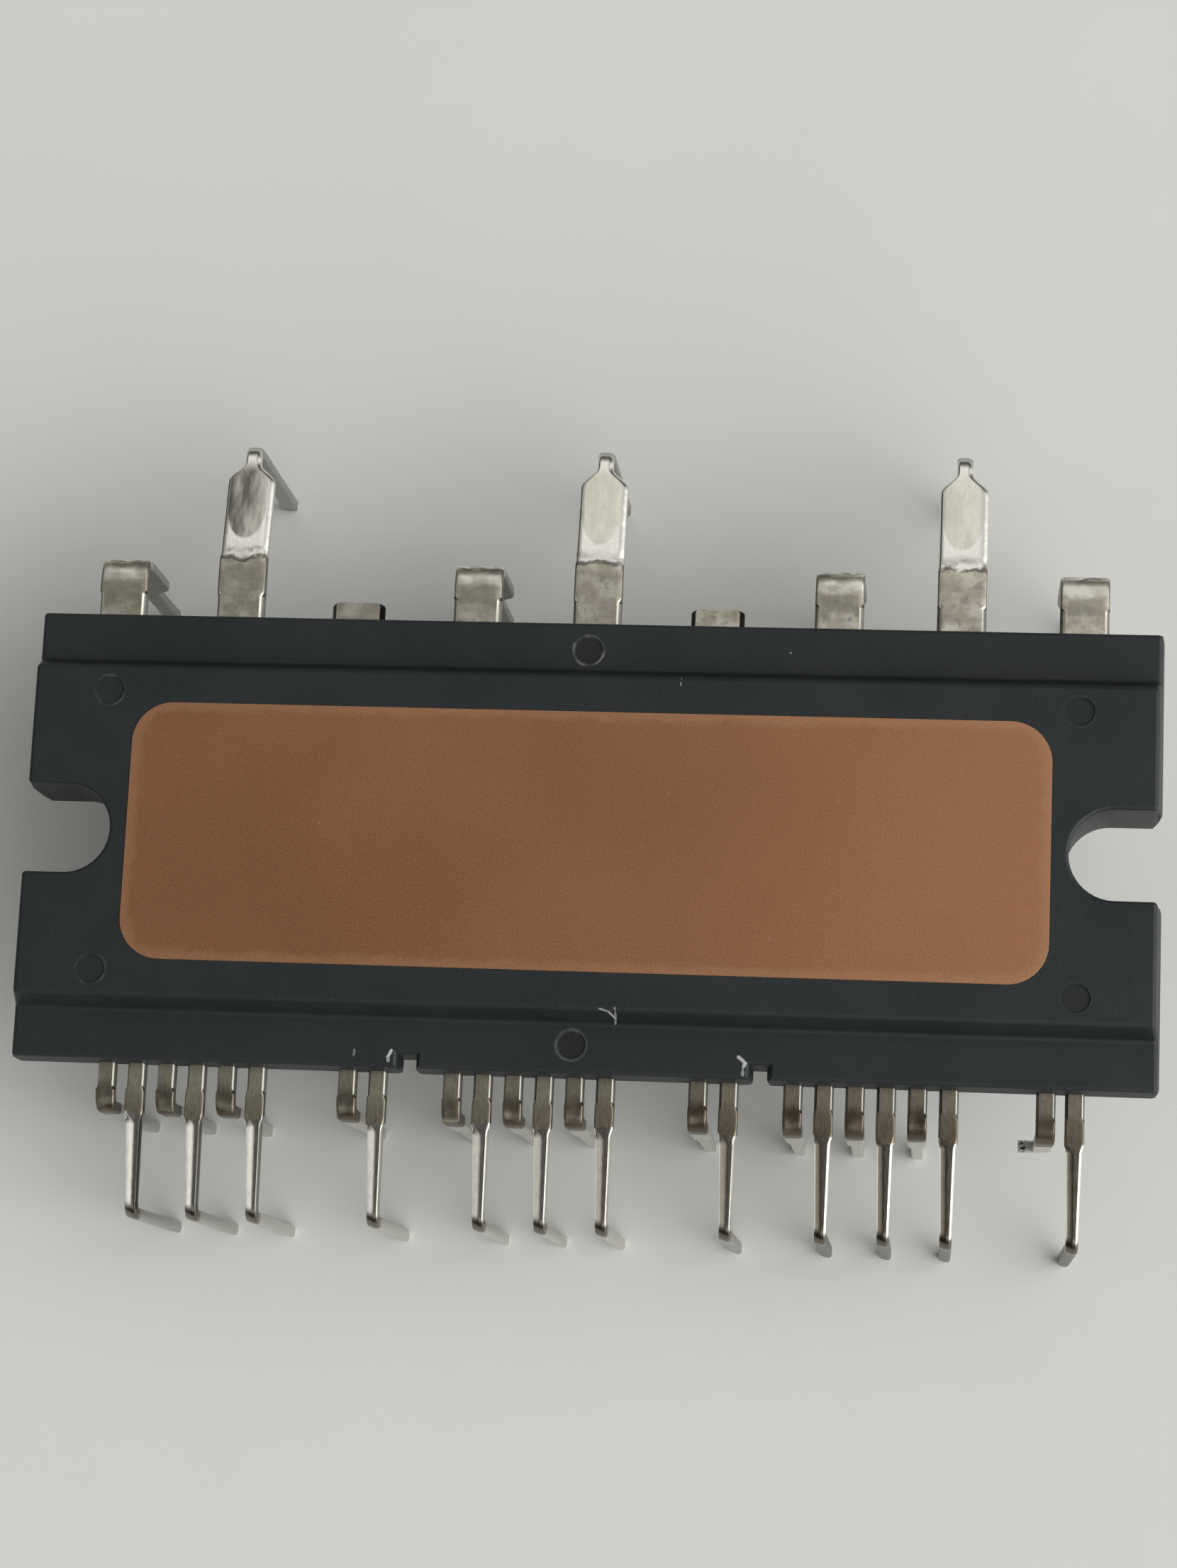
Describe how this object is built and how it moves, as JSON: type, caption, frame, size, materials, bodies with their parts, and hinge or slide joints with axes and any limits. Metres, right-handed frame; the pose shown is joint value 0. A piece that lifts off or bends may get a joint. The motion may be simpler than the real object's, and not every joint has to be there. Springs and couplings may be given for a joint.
{
  "type": "intelligent power module",
  "caption": "Moulded dual-in-line power module: dark drafted body with an exposed copper heat-spreader face, open screw slots at both ends, and staggered bent leads along both long edges.",
  "frame": {"origin": "middle of the exposed copper face, midway between the two screw slots", "axes": "+Z out of the copper face, +X along the package, +Y towards the power leads"},
  "size_m": [0.0474, 0.0335, 0.012],
  "materials": {
    "moulding": "dark grey moulding compound, fine matt spark-eroded grain",
    "copper": "bare copper, matt brown with a paler edge band",
    "sheet": "filled resin sheet, matt cream",
    "tinned_lead": "tin-plated copper, satin grey-beige with bright rolled edges",
    "silicon": "bare silicon chip, metallised top"
  },
  "bodies": {
    "root": {"mould_body": "moulding", "heat_spreader": "copper", "insulating_sheet": "sheet", "positive_bus": "tinned_lead", "phase_lead_1": "tinned_lead", "phase_lead_2": "tinned_lead", "phase_lead_3": "tinned_lead", "return_lead_1": "tinned_lead", "return_lead_2": "tinned_lead", "return_lead_3": "tinned_lead", "signal_lead_01": "tinned_lead", "signal_lead_02": "tinned_lead", "signal_lead_03": "tinned_lead", "signal_lead_04": "tinned_lead", "signal_lead_05": "tinned_lead", "signal_lead_06": "tinned_lead", "signal_lead_07": "tinned_lead", "signal_lead_08": "tinned_lead", "signal_lead_09": "tinned_lead", "signal_lead_10": "tinned_lead", "signal_lead_11": "tinned_lead", "signal_lead_12": "tinned_lead", "signal_lead_13": "tinned_lead", "signal_lead_14": "tinned_lead", "signal_lead_15": "tinned_lead", "signal_lead_16": "tinned_lead", "signal_lead_17": "tinned_lead", "signal_lead_18": "tinned_lead", "signal_lead_19": "tinned_lead", "signal_lead_20": "tinned_lead", "signal_lead_21": "tinned_lead", "signal_lead_22": "tinned_lead", "signal_lead_23": "tinned_lead", "signal_lead_24": "tinned_lead", "high_transistor_1": "silicon", "high_transistor_2": "silicon", "high_transistor_3": "silicon", "low_transistor_1": "silicon", "low_transistor_2": "silicon", "low_transistor_3": "silicon", "high_diode_1": "silicon", "high_diode_2": "silicon", "high_diode_3": "silicon", "low_diode_1": "silicon", "low_diode_2": "silicon", "low_diode_3": "silicon", "driver_chip_1": "silicon", "driver_chip_2": "silicon", "driver_chip_3": "silicon"}
  },
  "joints": []
}
